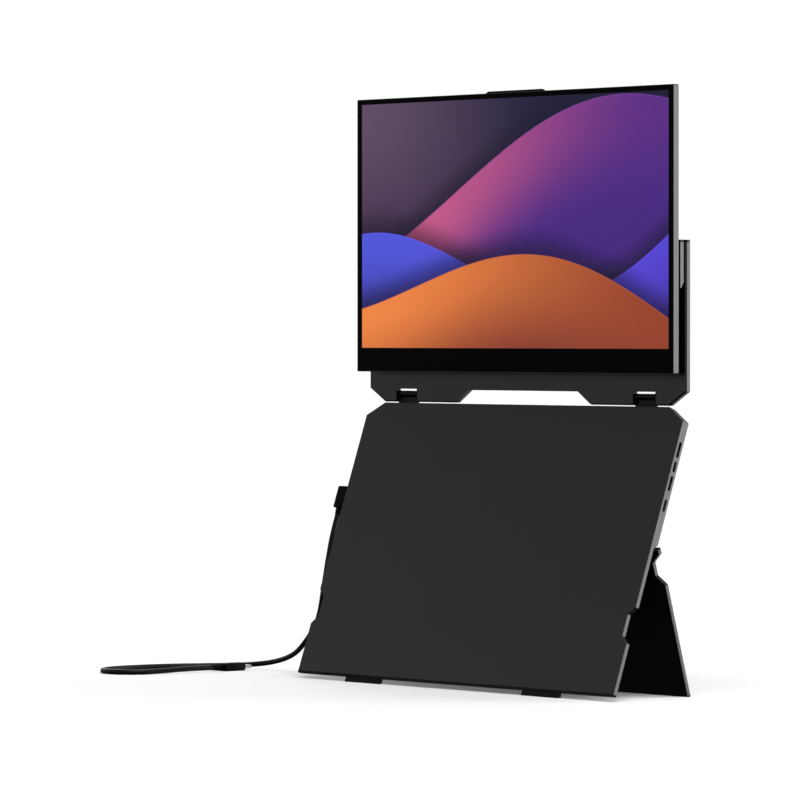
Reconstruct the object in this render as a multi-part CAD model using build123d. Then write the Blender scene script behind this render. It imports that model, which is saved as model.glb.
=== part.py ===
from build123d import *
import math
import os

# Laptop screen extender. A base plate leans behind the laptop's lid and is propped by a kickstand.
# The base plate's upper half is an electronics box. A riser stands on a fold hinge at the base plate's
# top edge, and a display hangs in front of the riser from a tilt hinge along the riser's top edge.
# Frame, in millimetres: +X to the right seen from the user, -Y towards the user, +Z up. The floor is
# Z = 0 and the origin is the middle of the footprint.

# Fits
fixed_fit = 0.03        # radial, pin or screw in the hole that holds it
running_fit = 0.06      # radial, pin in the knuckle that turns on it
knuckle_gap = 0.4       # between knuckles of two bodies along their pin
seat_gap = 0.1          # between pieces that are put together and do not move

# Display. Its width is also the width of leaf, riser, base plate and kickstand.
screen_width = 344.16
screen_height = 193.59
border_side = 5.42
border_top = 4.11
border_bottom = 18.83
display_thickness = 5.45
display_corner = 1.1    # radius of the corners seen from the front
bezel_thickness = 1.0
cover_rim = 0.5         # side wall beside the bezel
cover_side_wall = 1.1
cover_back_wall = 1.2
hinge_height = 100.6    # top of the hinge leaf above the display's lower edge
glass_thickness = 0.7
glass_recess = 0.15
panel_margin = 2.0      # panel behind the bezel's edge
panel_thickness = 1.1
backlight_thickness = 1.5
driver_board_height = 11.0
driver_board_inset = 52.5
driver_board_thickness = 0.6
driver_board_gap = 1.0
driver_chip_count = 5
driver_chip_length = 8.0
driver_chip_height = 4.0
driver_chip_thickness = 0.9
ribbon_count = 6
ribbon_width = 18.0
ribbon_thickness = 0.2
ribbon_overlap = 3.0
grip_width = 64.0
grip_rise = 1.75
grip_front = 4.5        # behind the display's front face
grip_back = 6.9
grip_drop = 14.0
grip_bevel = 2.2

# Base plate, measured along the plate: x across, y from its front face backwards, z from its lower edge
base_height = 226.2
base_tilt = 19.85       # degrees, top leans back
ground_gap = 4.5        # lower front corner above the table
slab_thickness = 3.4
corner_inset = 18.0     # cut corners of base and riser
corner_drop = 10.8
finger_notch_low = 40.9
finger_notch_high = 69.1
finger_notch_depth = 6.4
finger_notch_slope = 5.8
edge_chamfer = 0.2
strip_height = 1.4      # rubber strip along the lower edge
pad_spacing = 200.0     # rubber pads under the strip
pad_width = 40.0
pad_inset = 0.3

# Electronics box on the base plate's upper half
box_height = 106.7      # from the top edge down to the box's lower end on the rear face
box_thickness = 6.84
box_end_run = 3.7       # the lower end slants down this much towards the front
front_wall = 0.9
rear_wall = 1.2
side_wall = 2.0
boss_radius = 2.6
cover_screw_inset = 12.5
cover_screw_drop = 18.2
cover_screw_rise = 14.5
vent_rows = 7
vent_pitch = 5.0
vent_length = 46.0
vent_width = 1.6
vent_inset = 85.5
vent_drop = 30.2

# Sockets and the button: centres below the base plate's top edge
port_depth = 3.42       # behind the base plate's front face
video_port_drops = (32.85, 59.2)
video_port_lengths = (12.2, 11.6)
video_port_width = 2.6
video_port_wall = 0.2
right_usb_drop = 46.1
left_usb_drop = 76.6
usb_length = 8.34
usb_width = 2.56
usb_wall = 0.3
socket_depth = 7.3
socket_tongue_recess = 1.5
socket_tongue_margin = 1.1
socket_tongue_half = 0.3
button_drop = 76.6
button_length = 9.2
button_width = 2.1
button_gap = 0.25
button_recess = 0.1
button_depth = 4.0
button_flange = 0.8
button_flange_rim = 0.6
button_travel = 0.6
switch_depth = 2.0
switch_height = 5.0
switch_thickness = 2.6
plunger_radius = 0.8
plunger_length = 0.4

# Main board and what stands on it: x, drop below the board's top edge, width, height, thickness
board_thickness = 0.7
board_rise = 22.5
board_drop = 24.2
board_side_gap = 3.0
board_screw_inset = 30.5
board_screw_edge = 4.5
chip_layout = [
    (40.0, 30.0, 15.0, 15.0, 1.4),
    (64.0, 26.0, 9.0, 13.0, 1.0),
    (-60.0, 42.0, 8.0, 8.0, 1.1),
    (120.0, 18.0, 7.0, 7.0, 0.9),
    (128.0, 42.0, 6.0, 6.0, 0.9),
    (-120.0, 46.0, 7.0, 7.0, 1.0),
    (-96.0, 20.0, 6.5, 6.5, 2.2),
    (-84.0, 20.0, 6.5, 6.5, 2.2),
    (0.0, 16.0, 5.0, 22.0, 1.6),
]

# Fold hinge between base and riser
fold_axis_rise = 7.8    # above the base plate's top edge
fold_axis_depth = 0.55  # behind the base plate's front face
fold_radius = 2.5
fold_pin_radius = 1.2
fold_inset = 44.2       # hinge centre from the side edge
fold_notch_width = 24.95
fold_cheek = 0.6        # lining of the notch's side walls
fold_side_gap = 0.5
fold_arm_thickness = 1.6
fold_arm_depth = 1.1    # front face of the arm behind the base plate's front face
fold_arm_foot = 22.0    # length of the arm below the base plate's top edge
fold_screw_spacing = 14.0
fold_screw_inset = 5.0
fold_slot_margin = 1.0
knuckle_length = 9.0
knuckle_foot = 11.0
knuckle_skin = 1.88     # front panel left in front of a knuckle foot

# Riser
riser_thickness = 4.38
riser_front_thickness = 3.08
riser_bevel = 1.08      # on the front face's outer edges, down to the level of the fold barrels
riser_drop = 6.5        # below the fold axis
riser_rise = 118.1      # above the fold axis, to the top of its black strip
top_strip = 1.8
hinge_notch_rise = 3.9  # top of the hinge notches above the fold axis
cable_notch_height = 10.0
cable_notch_width = 122.4
cable_notch_slope = 14.6
cable_notch_radius = 2.0
riser_screw_inset = 9.5
riser_screw_rise = 30.0
riser_screw_drop = 19.6
flex_x = 20.0
flex_width = 16.0
flex_thickness = 0.3
flex_channel = 0.6
flex_channel_gap = 0.5
flex_end_low = 6.0
flex_end_high = 8.0

# Tilt hinge between riser and display, and the leaf behind the display
tilt_gap = 2.53         # between the hinge leaf and the riser
tilt_axis_depth = 0.55  # in front of the riser's front face
tilt_axis_rise = 0.2    # above the riser's top
tilt_radius = 1.3
tilt_pin_radius = 0.7
tilt_inset = 59.5       # outer hinges from the side edge
tilt_knuckle = 14.0
tilt_tab_width = 10.0
tilt_tab_height = 7.0
tilt_tab_thickness = 0.8
leaf_thickness = 3.56
leaf_height = 36.2
leaf_taper_run = 4.3
leaf_taper_depth = 2.7
spacer_thickness = 1.58
spacer_radius = 6.0
leaf_screw_inset = 27.5
leaf_screw_drop = 20.0

# Kickstand, measured from its hinge axis
kick_lean = 15.87       # degrees, foot backwards
kick_thickness = 3.1
kick_axis_depth = 4.2   # behind the base plate's front face
kick_axis_rise = 3.0    # above the box's lower end
kick_top_back = 6.1
kick_top_front = 8.2
kick_notch_start = 10.7
kick_notch_slope = 7.0
kick_notch_floor = 10.3
kick_notch_depth = 8.5
kick_strip = 1.2
kick_foot_press = 0.35  # the foot's edge is ground flat by this much where it stands
kick_inset = 67.5       # hinge centre from the side edge
kick_window_margin = 1.0
kick_radius = 2.3
kick_pin_radius = 1.0
kick_leaf_knuckle = 11.0
kick_base_knuckle = 5.0
kick_leaf_thickness = 1.2
kick_leaf_length = 26.0
kick_leaf_screw_drops = (15.0, 22.0)
kick_ring_gap = 0.5
kick_bracket_rise = 15.0
kick_bracket_web = 1.0
kick_screw_spacing = 12.0
kick_screw_inset = 4.0

# Screws
screw_radius = 0.9
screw_head_radius = 1.75
screw_head_height = 0.7
screw_slot = 0.4
screw_slot_reach = 1.15
screw_skin = 0.4        # left between a screw's tip and the outside

# Cable and its plugs
cable_diameter = 4.2
cable_inset = 5.2       # cable axis behind the plug's outer face
plug_width = 11.7       # how far the right-angle plug stands out of the left edge
plug_length = 17.7
plug_thickness = 6.4
plug_head = 5.9         # above the socket's centre
plug_edge = 1.0
relief_length = 5.5
relief_radius = 3.0
relief_taper = 0.4
tongue_length = 6.4
tongue_gap = 0.07
tongue_wall = 0.25
tongue_floor = 0.6
far_relief_length = 10.0
far_plug_length = 20.0
far_plug_width = 11.0
far_plug_thickness = 6.5

# The cable's corner points below the first straight run out of the strain relief: down beside the base
# plate, off to the left, onto the table and round in a loose loop to the far plug.
cable_first_run = 14.0
cable_route = [
    (-184.6, -0.6, 98.6),
    (-184.8, -6.0, 72.0),
    (-191.5, -5.7, 42.8),
    (-209.6, -5.9, 23.2),
    (-230.9, 1.5, 13.3),
    (-257.9, 6.4, 6.6),
    (-282.5, 1.3, 3.2),
    (-309.6, -19.2, 2.15),
    (-324.0, -41.2, 2.15),
    (-330.8, -61.0, 2.15),
    (-334.4, -85.5, 2.15),
    (-333.0, -110.2, 2.15),
    (-320.2, -124.6, 2.15),
    (-301.4, -126.6, 2.15),
    (-286.2, -115.0, 2.15),
    (-282.6, -94.0, 2.4),
    (-279.2, -70.0, 3.3),
    (-276.4, -46.5, 3.3),
]


# Places that follow from the sizes above

def along_base(depth, height):
    # Y and Z of a point of the base plate, before the footprint is centred
    return (depth * math.cos(tilt_radians) + height * math.sin(tilt_radians),
            ground_gap - depth * math.sin(tilt_radians) + height * math.cos(tilt_radians))


tilt_radians = math.radians(base_tilt)
lean_radians = math.radians(kick_lean)
display_width = screen_width + 2 * border_side
display_height = screen_height + border_top + border_bottom
half_width = display_width / 2
box_end = base_height - box_height
kick_axis_height = box_end + kick_axis_rise
kick_back = box_thickness - kick_axis_depth
kick_front = kick_back - kick_thickness
left_usb_height = base_height - left_usb_drop
right_usb_height = base_height - right_usb_drop
button_height = base_height - button_drop
video_ports = [(base_height - drop, length) for drop, length in zip(video_port_drops, video_port_lengths)]

kick_y, kick_z = along_base(kick_axis_depth, kick_axis_height)
kick_reach = (kick_z + kick_front * math.sin(lean_radians)) / math.cos(lean_radians) + kick_foot_press
pad_drop = (ground_gap - pad_inset * math.sin(tilt_radians)) / math.cos(tilt_radians)
footprint_front = along_base(pad_inset, -pad_drop)[0]
footprint_back = kick_y + kick_back * math.cos(lean_radians) + kick_reach * math.sin(lean_radians)
base_y = -(footprint_front + footprint_back) / 2

base_place = Pos(0, base_y, ground_gap) * Rot(-base_tilt, 0, 0)
kick_place = Pos(0, base_y + kick_y, kick_z) * Rot(kick_lean, 0, 0)
fold_axis_height = base_height + fold_axis_rise
fold_y, fold_z = along_base(fold_axis_depth, fold_axis_height)
fold_y += base_y
riser_front = fold_y - fold_radius - riser_bevel
riser_back = riser_front + riser_thickness
riser_split = riser_front + riser_front_thickness
riser_low = fold_z - riser_drop
riser_top = fold_z + riser_rise
riser_panel_top = riser_top - top_strip
tilt_y = riser_front - tilt_axis_depth
tilt_z = riser_top + tilt_axis_rise
leaf_back = riser_front - tilt_gap
leaf_front = leaf_back - leaf_thickness
display_back = leaf_front - spacer_thickness
display_front = display_back - display_thickness
display_low = riser_top - hinge_height
display_top = display_low + display_height
window_low = display_low + border_bottom
window_high = window_low + screen_height

parts = {}


# Simple solids and rows

def block(x0, x1, y0, y1, z0, z1):
    return Pos((x0 + x1) / 2, (y0 + y1) / 2, (z0 + z1) / 2) * Box(x1 - x0, y1 - y0, z1 - z0)


def panel(outline, y0, y1):
    # flat sheet with an outline of (x, z) points
    loop = Polyline([(x, y0, z) for x, z in outline], close=True)
    return extrude(make_face(loop), amount=y1 - y0, dir=(0, 1, 0))


def bar(profile):
    # bar of the full width with a profile of (y, z) points
    loop = Polyline([(-half_width, y, z) for y, z in profile], close=True)
    return extrude(make_face(loop), amount=display_width, dir=(1, 0, 0))


def rod(radius, y, z, x0, x1):
    return Pos((x0 + x1) / 2, y, z) * Rot(0, 90, 0) * Cylinder(radius, x1 - x0)


def post(radius, x, z, y0, y1):
    return Pos(x, (y0 + y1) / 2, z) * Rot(90, 0, 0) * Cylinder(radius, y1 - y0)


def pill(length, width, y, z, x0, x1):
    # rounded bar along X, long side along Z
    sketch = Plane((x0, y, z), x_dir=(0, 0, 1), z_dir=(1, 0, 0)) * SlotOverall(length, width)
    return extrude(sketch, amount=x1 - x0)


def vent(x, z):
    # rounded slot through the box's rear wall, long side along X
    start = box_thickness - rear_wall
    sketch = Plane((x, start, z), x_dir=(1, 0, 0), z_dir=(0, 1, 0)) * SlotOverall(vent_length, vent_width)
    return extrude(sketch, amount=rear_wall)


def mirrored(right_side):
    # closed outline from the points of its right side
    return right_side + [(-x, z) for x, z in reversed(right_side)]


def spread(reach, count):
    # evenly spaced places from -reach to +reach
    return [reach * (2 * i / (count - 1) - 1) for i in range(count)]


def screw(x, z, seat, tip):
    # its head stands on the seat, away from the tip
    away = 1 if seat > tip else -1
    top = seat + away * screw_head_height
    floor = top - away * screw_slot
    head = post(screw_head_radius, x, z, min(seat, top), max(seat, top))
    shank = post(screw_radius, x, z, min(seat, tip), max(seat, tip))
    y0, y1 = min(top, floor), max(top, floor)
    half, reach = screw_slot / 2, screw_slot_reach
    cross = block(x - reach, x + reach, y0, y1, z - half, z + half)
    cross += block(x - half, x + half, y0, y1, z - reach, z + reach)
    return head + shank - cross


def screw_hole(x, z, y0, y1):
    return post(screw_radius + fixed_fit, x, z, y0, y1)


def head_hole(x, z, y0, y1):
    return post(screw_head_radius + seat_gap, x, z, y0, y1)


# Base plate and box

board_back = port_depth - usb_width / 2 - usb_wall
board_front = board_back - board_thickness
board_low = box_end + board_rise
board_high = base_height - board_drop
board_half = half_width - side_wall - board_side_gap
pocket_low = kick_axis_height - kick_radius - kick_ring_gap
fold_x = half_width - fold_inset
fold_places = (-fold_x, fold_x)
fold_opening = fold_notch_width / 2 - seat_gap - fold_cheek
fold_screw_height = base_height - fold_arm_foot + fold_screw_inset
kick_places = (kick_inset - half_width, half_width - kick_inset)
kick_screw_height = kick_axis_height + kick_bracket_rise - kick_screw_inset
cover_screw_places = [(x, z) for x in spread(half_width - cover_screw_inset, 4)
                      for z in (box_end + cover_screw_rise, base_height - cover_screw_drop)]
board_screw_places = [(x, z) for x in spread(board_half - board_screw_inset, 4)
                      for z in (board_low + board_screw_edge, board_high - board_screw_edge)]


def base_outline():
    notch_floor = half_width - finger_notch_depth
    side = [(half_width, strip_height), (half_width, finger_notch_low),
            (notch_floor, finger_notch_low + finger_notch_slope),
            (notch_floor, finger_notch_high - finger_notch_slope),
            (half_width, finger_notch_high),
            (half_width, base_height - corner_drop), (half_width - corner_inset, base_height)]
    return mirrored(side)


def box_outline(inset, low):
    half = half_width - inset
    top = base_height - inset
    return mirrored([(half, low), (half, top - corner_drop), (half - corner_inset, top)])


def socket_cuts():
    # openings through the box's side walls
    outer = half_width + seat_gap
    inner = half_width - side_wall - seat_gap
    cuts = [pill(usb_length, usb_width, port_depth, right_usb_height, inner, outer),
            pill(usb_length, usb_width, port_depth, left_usb_height, -outer, -inner),
            pill(button_length + 2 * button_gap, button_width + 2 * button_gap, port_depth,
                 button_height, inner, outer)]
    for height, length in video_ports:
        cuts.append(pill(length, video_port_width, port_depth, height, inner, outer))
    return cuts


def blind_screw_holes():
    # holes in the front wall that hold the board's and the hinges' screws
    places = list(board_screw_places)
    for offset in (-fold_screw_spacing / 2, fold_screw_spacing / 2):
        places += [(x + offset, fold_screw_height) for x in fold_places]
    for offset in (-kick_screw_spacing / 2, kick_screw_spacing / 2):
        places += [(x + offset, kick_screw_height) for x in kick_places]
    return [screw_hole(x, z, screw_skin, front_wall) for x, z in places]


def base_front_shell():
    shell = panel(base_outline(), 0, slab_thickness)
    shell = chamfer(shell.faces().sort_by(Axis.Y)[0].edges(), edge_chamfer)
    shell -= panel(box_outline(side_wall, pocket_low), front_wall, slab_thickness)
    for x, z in cover_screw_places:
        shell += post(boss_radius, x, z, front_wall, slab_thickness)
        shell -= screw_hole(x, z, front_wall, slab_thickness)
    for cut in blind_screw_holes() + socket_cuts():
        shell -= cut
    half = fold_opening
    for x in fold_places:
        shell -= block(x - half, x + half, fold_arm_depth - seat_gap, slab_thickness,
                       base_height - side_wall - fold_slot_margin, base_height + fold_slot_margin)
    parts["base_front_shell"] = base_place * shell


def base_rear_cover():
    profile = [(slab_thickness, box_end - box_end_run), (box_thickness, box_end),
               (box_thickness, base_height), (slab_thickness, base_height)]
    cover = panel(box_outline(0, box_end - box_end_run), slab_thickness, box_thickness) & bar(profile)
    cover = chamfer(cover.faces().sort_by(Axis.Y)[-1].edges(), edge_chamfer)
    inner_back = box_thickness - rear_wall
    cover -= panel(box_outline(side_wall, box_end + side_wall), slab_thickness, inner_back)
    head_seat = box_thickness - screw_head_height
    for x, z in cover_screw_places:
        cover += post(boss_radius, x, z, slab_thickness, inner_back)
        cover -= screw_hole(x, z, slab_thickness, box_thickness)
        cover -= head_hole(x, z, head_seat, box_thickness)
    for cut in socket_cuts():
        cover -= cut
    half = kick_leaf_knuckle / 2 + knuckle_gap + kick_base_knuckle + kick_window_margin
    for x in kick_places:
        cover -= block(x - half, x + half, slab_thickness, box_thickness, box_end - box_end_run,
                       kick_axis_height + kick_radius + kick_ring_gap)
    for row in range(vent_rows):
        for side in (-1, 1):
            cover -= vent(side * (half_width - vent_inset), base_height - vent_drop - row * vent_pitch)
    parts["base_rear_cover"] = base_place * cover
    screws = [screw(x, z, head_seat, front_wall + screw_skin) for x, z in cover_screw_places]
    parts["cover_screws"] = base_place * Compound(screws)


def under_floor():
    # what a foot is cut off with, so that it stands flat
    return block(-display_width, display_width, -base_height, base_height, -base_height, 0)


def base_foot_strip():
    strip = block(-half_width, half_width, 0, slab_thickness, 0, strip_height)
    for x in (-pad_spacing / 2, pad_spacing / 2):
        strip += block(x - pad_width / 2, x + pad_width / 2, pad_inset, slab_thickness - pad_inset,
                       -2 * pad_drop, 0)
    parts["base_foot_strip"] = base_place * strip - under_floor()


def fold_brackets():
    # an arm that stands out of the box and carries a barrel between the riser's knuckles
    brackets, pins, screws = [], [], []
    half = fold_opening - fold_side_gap
    pin_half = fold_notch_width / 2 + knuckle_length
    arm_back = fold_arm_depth + fold_arm_thickness
    for x in fold_places:
        arm = block(x - half, x + half, fold_arm_depth, arm_back, base_height - fold_arm_foot, fold_axis_height)
        arm += rod(fold_radius, fold_axis_depth, fold_axis_height, x - half, x + half)
        arm -= rod(fold_pin_radius + fixed_fit, fold_axis_depth, fold_axis_height, x - half, x + half)
        for screw_x in (x - fold_screw_spacing / 2, x + fold_screw_spacing / 2):
            arm -= screw_hole(screw_x, fold_screw_height, fold_arm_depth, arm_back)
            screws.append(screw(screw_x, fold_screw_height, arm_back, screw_skin))
        brackets.append(arm)
        pins.append(rod(fold_pin_radius, fold_axis_depth, fold_axis_height, x - pin_half, x + pin_half))
    parts["fold_hinge_brackets"] = base_place * Compound(brackets)
    parts["fold_hinge_pins"] = base_place * Compound(pins)
    parts["fold_bracket_screws"] = base_place * Compound(screws)


def kick_bracket(x, inner, outer):
    # a plate inside the box with two knuckles, one each side of the kickstand leaf's knuckle
    front = front_wall + seat_gap
    back = front + kick_leaf_thickness
    low = kick_axis_height + kick_radius + kick_ring_gap
    bracket = block(x - outer, x + outer, front, back, low, kick_axis_height + kick_bracket_rise)
    for side in (-1, 1):
        x0, x1 = sorted((x + side * inner, x + side * outer))
        bracket += block(x0, x1, front, kick_axis_depth, kick_axis_height, low + kick_bracket_web)
        bracket += rod(kick_radius, kick_axis_depth, kick_axis_height, x0, x1)
    bracket -= rod(kick_pin_radius + fixed_fit, kick_axis_depth, kick_axis_height, x - outer, x + outer)
    return bracket, front, back


def kick_brackets():
    brackets, pins, screws = [], [], []
    inner = kick_leaf_knuckle / 2 + knuckle_gap
    outer = inner + kick_base_knuckle
    for x in kick_places:
        bracket, front, back = kick_bracket(x, inner, outer)
        for screw_x in (x - kick_screw_spacing / 2, x + kick_screw_spacing / 2):
            bracket -= screw_hole(screw_x, kick_screw_height, front, back)
            screws.append(screw(screw_x, kick_screw_height, back, screw_skin))
        brackets.append(bracket)
        pins.append(rod(kick_pin_radius, kick_axis_depth, kick_axis_height, x - outer, x + outer))
    parts["kick_hinge_brackets"] = base_place * Compound(brackets)
    parts["kick_hinge_pins"] = base_place * Compound(pins)
    parts["kick_bracket_screws"] = base_place * Compound(screws)


# Electronics in the box

def socket(height, length, width, wall, side):
    # metal shell open to the outside, closed at its inner end, with a contact tongue
    mouth = side * (half_width - side_wall - seat_gap)
    end = mouth - side * socket_depth
    shell = pill(length + 2 * wall, width + 2 * wall, port_depth, height, *sorted((mouth, end)))
    shell -= pill(length, width, port_depth, height, *sorted((mouth, end + side * wall)))
    tongue_half = length / 2 - socket_tongue_margin
    x0, x1 = sorted((end, mouth - side * socket_tongue_recess))
    tongue = block(x0, x1, port_depth - socket_tongue_half, port_depth + socket_tongue_half,
                   height - tongue_half, height + tongue_half)
    return shell + tongue


def electronics():
    board = block(-board_half, board_half, board_front, board_back, board_low, board_high)
    for x, z in board_screw_places:
        board -= screw_hole(x, z, board_front, board_back)
    chips = []
    for x, drop, width, height, thickness in chip_layout:
        z = board_high - drop
        chips.append(block(x - width / 2, x + width / 2, board_back, board_back + thickness,
                           z - height / 2, z + height / 2))
    parts["main_board"] = base_place * board
    parts["board_chips"] = base_place * Compound(chips)
    parts["board_screws"] = base_place * Compound(
        [screw(x, z, board_back, screw_skin) for x, z in board_screw_places])
    parts["usb_socket_right"] = base_place * socket(right_usb_height, usb_length, usb_width, usb_wall, 1)
    parts["usb_socket_left"] = base_place * socket(left_usb_height, usb_length, usb_width, usb_wall, -1)
    parts["video_sockets"] = base_place * Compound(
        [socket(height, length, video_port_width, video_port_wall, 1) for height, length in video_ports])


def power_button():
    outer = half_width - button_recess
    inner = outer - button_depth
    flange_outer = half_width - side_wall - seat_gap
    cap = pill(button_length, button_width, port_depth, button_height, inner, outer)
    rim = 2 * (button_gap + button_flange_rim)
    cap += pill(button_length + rim, button_width + rim, port_depth, button_height,
                flange_outer - button_flange, flange_outer)
    parts["power_button"] = base_place * cap
    plunger_tip = inner - button_travel - seat_gap
    body_outer = plunger_tip - plunger_length
    switch = block(body_outer - switch_depth, body_outer, board_back, board_back + switch_thickness,
                   button_height - switch_height / 2, button_height + switch_height / 2)
    switch += rod(plunger_radius, port_depth, button_height, body_outer, plunger_tip)
    parts["button_switch"] = base_place * switch


# Kickstand, in its own frame: origin on the hinge axis, z up along the plate

def kick_outline():
    notch_floor = half_width - kick_notch_depth
    notch_end = kick_notch_start + 2 * kick_notch_slope + kick_notch_floor
    side = [(half_width, kick_strip - kick_reach), (half_width, -notch_end),
            (notch_floor, kick_notch_slope - notch_end),
            (notch_floor, -kick_notch_start - kick_notch_slope),
            (half_width, -kick_notch_start), (half_width, 0)]
    return mirrored(side)


def kick_leaf(x, back, half):
    # strap let into the kickstand's front face, with the knuckle on top
    leaf = block(x - half, x + half, kick_front, back, -kick_leaf_length, 0)
    leaf += rod(kick_radius, 0, 0, x - half, x + half)
    leaf -= rod(kick_pin_radius + running_fit, 0, 0, x - half, x + half)
    for drop in kick_leaf_screw_drops:
        leaf -= screw_hole(x, -drop, kick_front, back)
        leaf -= head_hole(x, -drop, kick_front, kick_front + screw_head_height)
    return leaf


def kickstand():
    profile = [(kick_front, kick_strip - kick_reach), (kick_back, kick_strip - kick_reach),
               (kick_back, -kick_top_back), (kick_front, -kick_top_front)]
    plate = panel(kick_outline(), kick_front, kick_back) & bar(profile)
    plate = chamfer(plate.faces().sort_by(Axis.Y)[-1].edges(), edge_chamfer)
    leaf_back_face = kick_front + kick_leaf_thickness
    half = kick_leaf_knuckle / 2
    tip = kick_back - screw_skin
    leaves, screws = [], []
    for x in kick_places:
        plate -= block(x - half - seat_gap, x + half + seat_gap, kick_front, leaf_back_face,
                       -kick_leaf_length - seat_gap, 0)
        leaves.append(kick_leaf(x, leaf_back_face, half))
        for drop in kick_leaf_screw_drops:
            plate -= screw_hole(x, -drop, leaf_back_face, tip)
            screws.append(screw(x, -drop, kick_front + screw_head_height, tip))
    foot = block(-half_width, half_width, kick_front, kick_back, -kick_reach, kick_strip - kick_reach)
    parts["kickstand_plate"] = kick_place * plate
    parts["kickstand_foot_strip"] = kick_place * foot - under_floor()
    parts["kick_hinge_leaves"] = kick_place * Compound(leaves)
    parts["kick_leaf_screws"] = kick_place * Compound(screws)


# Riser

riser_screw_places = [(x, z) for x in (riser_screw_inset - half_width, half_width - riser_screw_inset)
                      for z in (riser_low + riser_screw_rise, riser_top - riser_screw_drop)]
knuckle_seat = riser_front + knuckle_skin
knuckle_top = fold_z + knuckle_foot
notch_top = fold_z + hinge_notch_rise


def riser_outline(top):
    # right side from the middle of the lower edge: cable notch, hinge notch, cut corner
    half_notch = cable_notch_width / 2
    inner = fold_x - fold_notch_width / 2
    outer = fold_x + fold_notch_width / 2
    side = [(half_notch, riser_low + cable_notch_height), (half_notch + cable_notch_slope, riser_low),
            (inner, riser_low), (inner, notch_top), (outer, notch_top), (outer, riser_low),
            (half_width - corner_inset, riser_low), (half_width, riser_low + corner_drop),
            (half_width, top)]
    return mirrored(side)


def riser_sheet(y0, y1, top):
    sheet = panel(riser_outline(top), y0, y1)
    for x in (-cable_notch_width / 2, cable_notch_width / 2):
        corner = (x, (y0 + y1) / 2, riser_low + cable_notch_height)
        sheet = fillet(sheet.edges().filter_by(Axis.Y).sort_by_distance(corner)[0], cable_notch_radius)
    return sheet


def knuckle_spans():
    # where the riser's knuckles lie along the fold pins
    half = fold_notch_width / 2
    spans = []
    for x in fold_places:
        spans += [(x - half - knuckle_length, x - half), (x + half, x + half + knuckle_length)]
    return spans


def outer_edges(sheet):
    # edges of the front face along the sides, the cut corners and the lower edge, not in a notch
    corner = half_width - corner_inset
    edges = []
    for edge in sheet.faces().sort_by(Axis.Y)[0].edges():
        center = edge.center()
        if abs(center.X) > corner or center.Z < riser_low + seat_gap:
            edges.append(edge)
    return edges


def riser():
    front = riser_sheet(riser_front, riser_split, riser_panel_top)
    front = chamfer(outer_edges(front), riser_bevel)
    back = riser_sheet(riser_split, riser_back, riser_top)
    for x0, x1 in knuckle_spans():
        pocket = block(x0 - seat_gap, x1 + seat_gap, knuckle_seat, riser_back, riser_low, knuckle_top + seat_gap)
        front -= pocket + rod(fold_pin_radius + running_fit, fold_y, fold_z, x0, x1)
        back -= pocket
    channel_front = riser_split - flex_channel
    channel_half = flex_width / 2 + flex_channel_gap
    channel_low = riser_low + cable_notch_height + flex_end_low
    channel_high = riser_panel_top - flex_end_high
    front -= block(flex_x - channel_half, flex_x + channel_half, channel_front, riser_split,
                   channel_low, channel_high)
    flex_front = channel_front + seat_gap
    parts["riser_flex_cable"] = block(flex_x - flex_width / 2, flex_x + flex_width / 2, flex_front,
                                      flex_front + flex_thickness, channel_low + flex_channel_gap,
                                      channel_high - flex_channel_gap)
    tip = riser_front + screw_skin
    head_seat = riser_back - screw_head_height
    for x, z in riser_screw_places:
        front -= screw_hole(x, z, tip, riser_split)
        back -= screw_hole(x, z, riser_split, riser_back)
        back -= head_hole(x, z, head_seat, riser_back)
    parts["riser_front_panel"] = front
    parts["riser_back_panel"] = back
    parts["riser_screws"] = Compound([screw(x, z, head_seat, tip) for x, z in riser_screw_places])


def fold_knuckles():
    knuckles = []
    for x0, x1 in knuckle_spans():
        knuckle = rod(fold_radius, fold_y, fold_z, x0, x1)
        knuckle += block(x0, x1, knuckle_seat, riser_back, fold_z, knuckle_top)
        knuckle -= block(x0, x1, fold_y - 2 * fold_radius, knuckle_seat, riser_low, knuckle_top)
        knuckle -= rod(fold_pin_radius + running_fit, fold_y, fold_z, x0, x1)
        knuckles.append(knuckle)
    parts["fold_hinge_knuckles"] = Compound(knuckles)


def fold_cheeks():
    # black linings of the hinge notches' side walls, beside the knuckles
    profile = [(riser_front, riser_low + riser_bevel), (riser_front + riser_bevel, riser_low),
               (riser_back, riser_low), (riser_back, notch_top), (riser_front, notch_top)]
    cheeks = []
    for x in fold_places:
        for x0 in (x - fold_opening - fold_cheek, x + fold_opening):
            loop = Polyline([(x0, y, z) for y, z in profile], close=True)
            cheek = extrude(make_face(loop), amount=fold_cheek, dir=(1, 0, 0))
            cheek += rod(fold_radius, fold_y, fold_z, x0, x0 + fold_cheek)
            cheeks.append(cheek - rod(fold_pin_radius + running_fit, fold_y, fold_z, x0, x0 + fold_cheek))
    parts["fold_hinge_cheeks"] = Compound(cheeks)


def tilt_ring(x0, x1, plate_y, hole_radius):
    # knuckle of the tilt hinge with a web to its strip
    y0, y1 = sorted((tilt_y, plate_y))
    ring = rod(tilt_radius, tilt_y, tilt_z, x0, x1)
    ring += block(x0, x1, y0, y1, tilt_z - tilt_radius, riser_top)
    return ring - rod(hole_radius, tilt_y, tilt_z, x0, x1)


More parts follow.
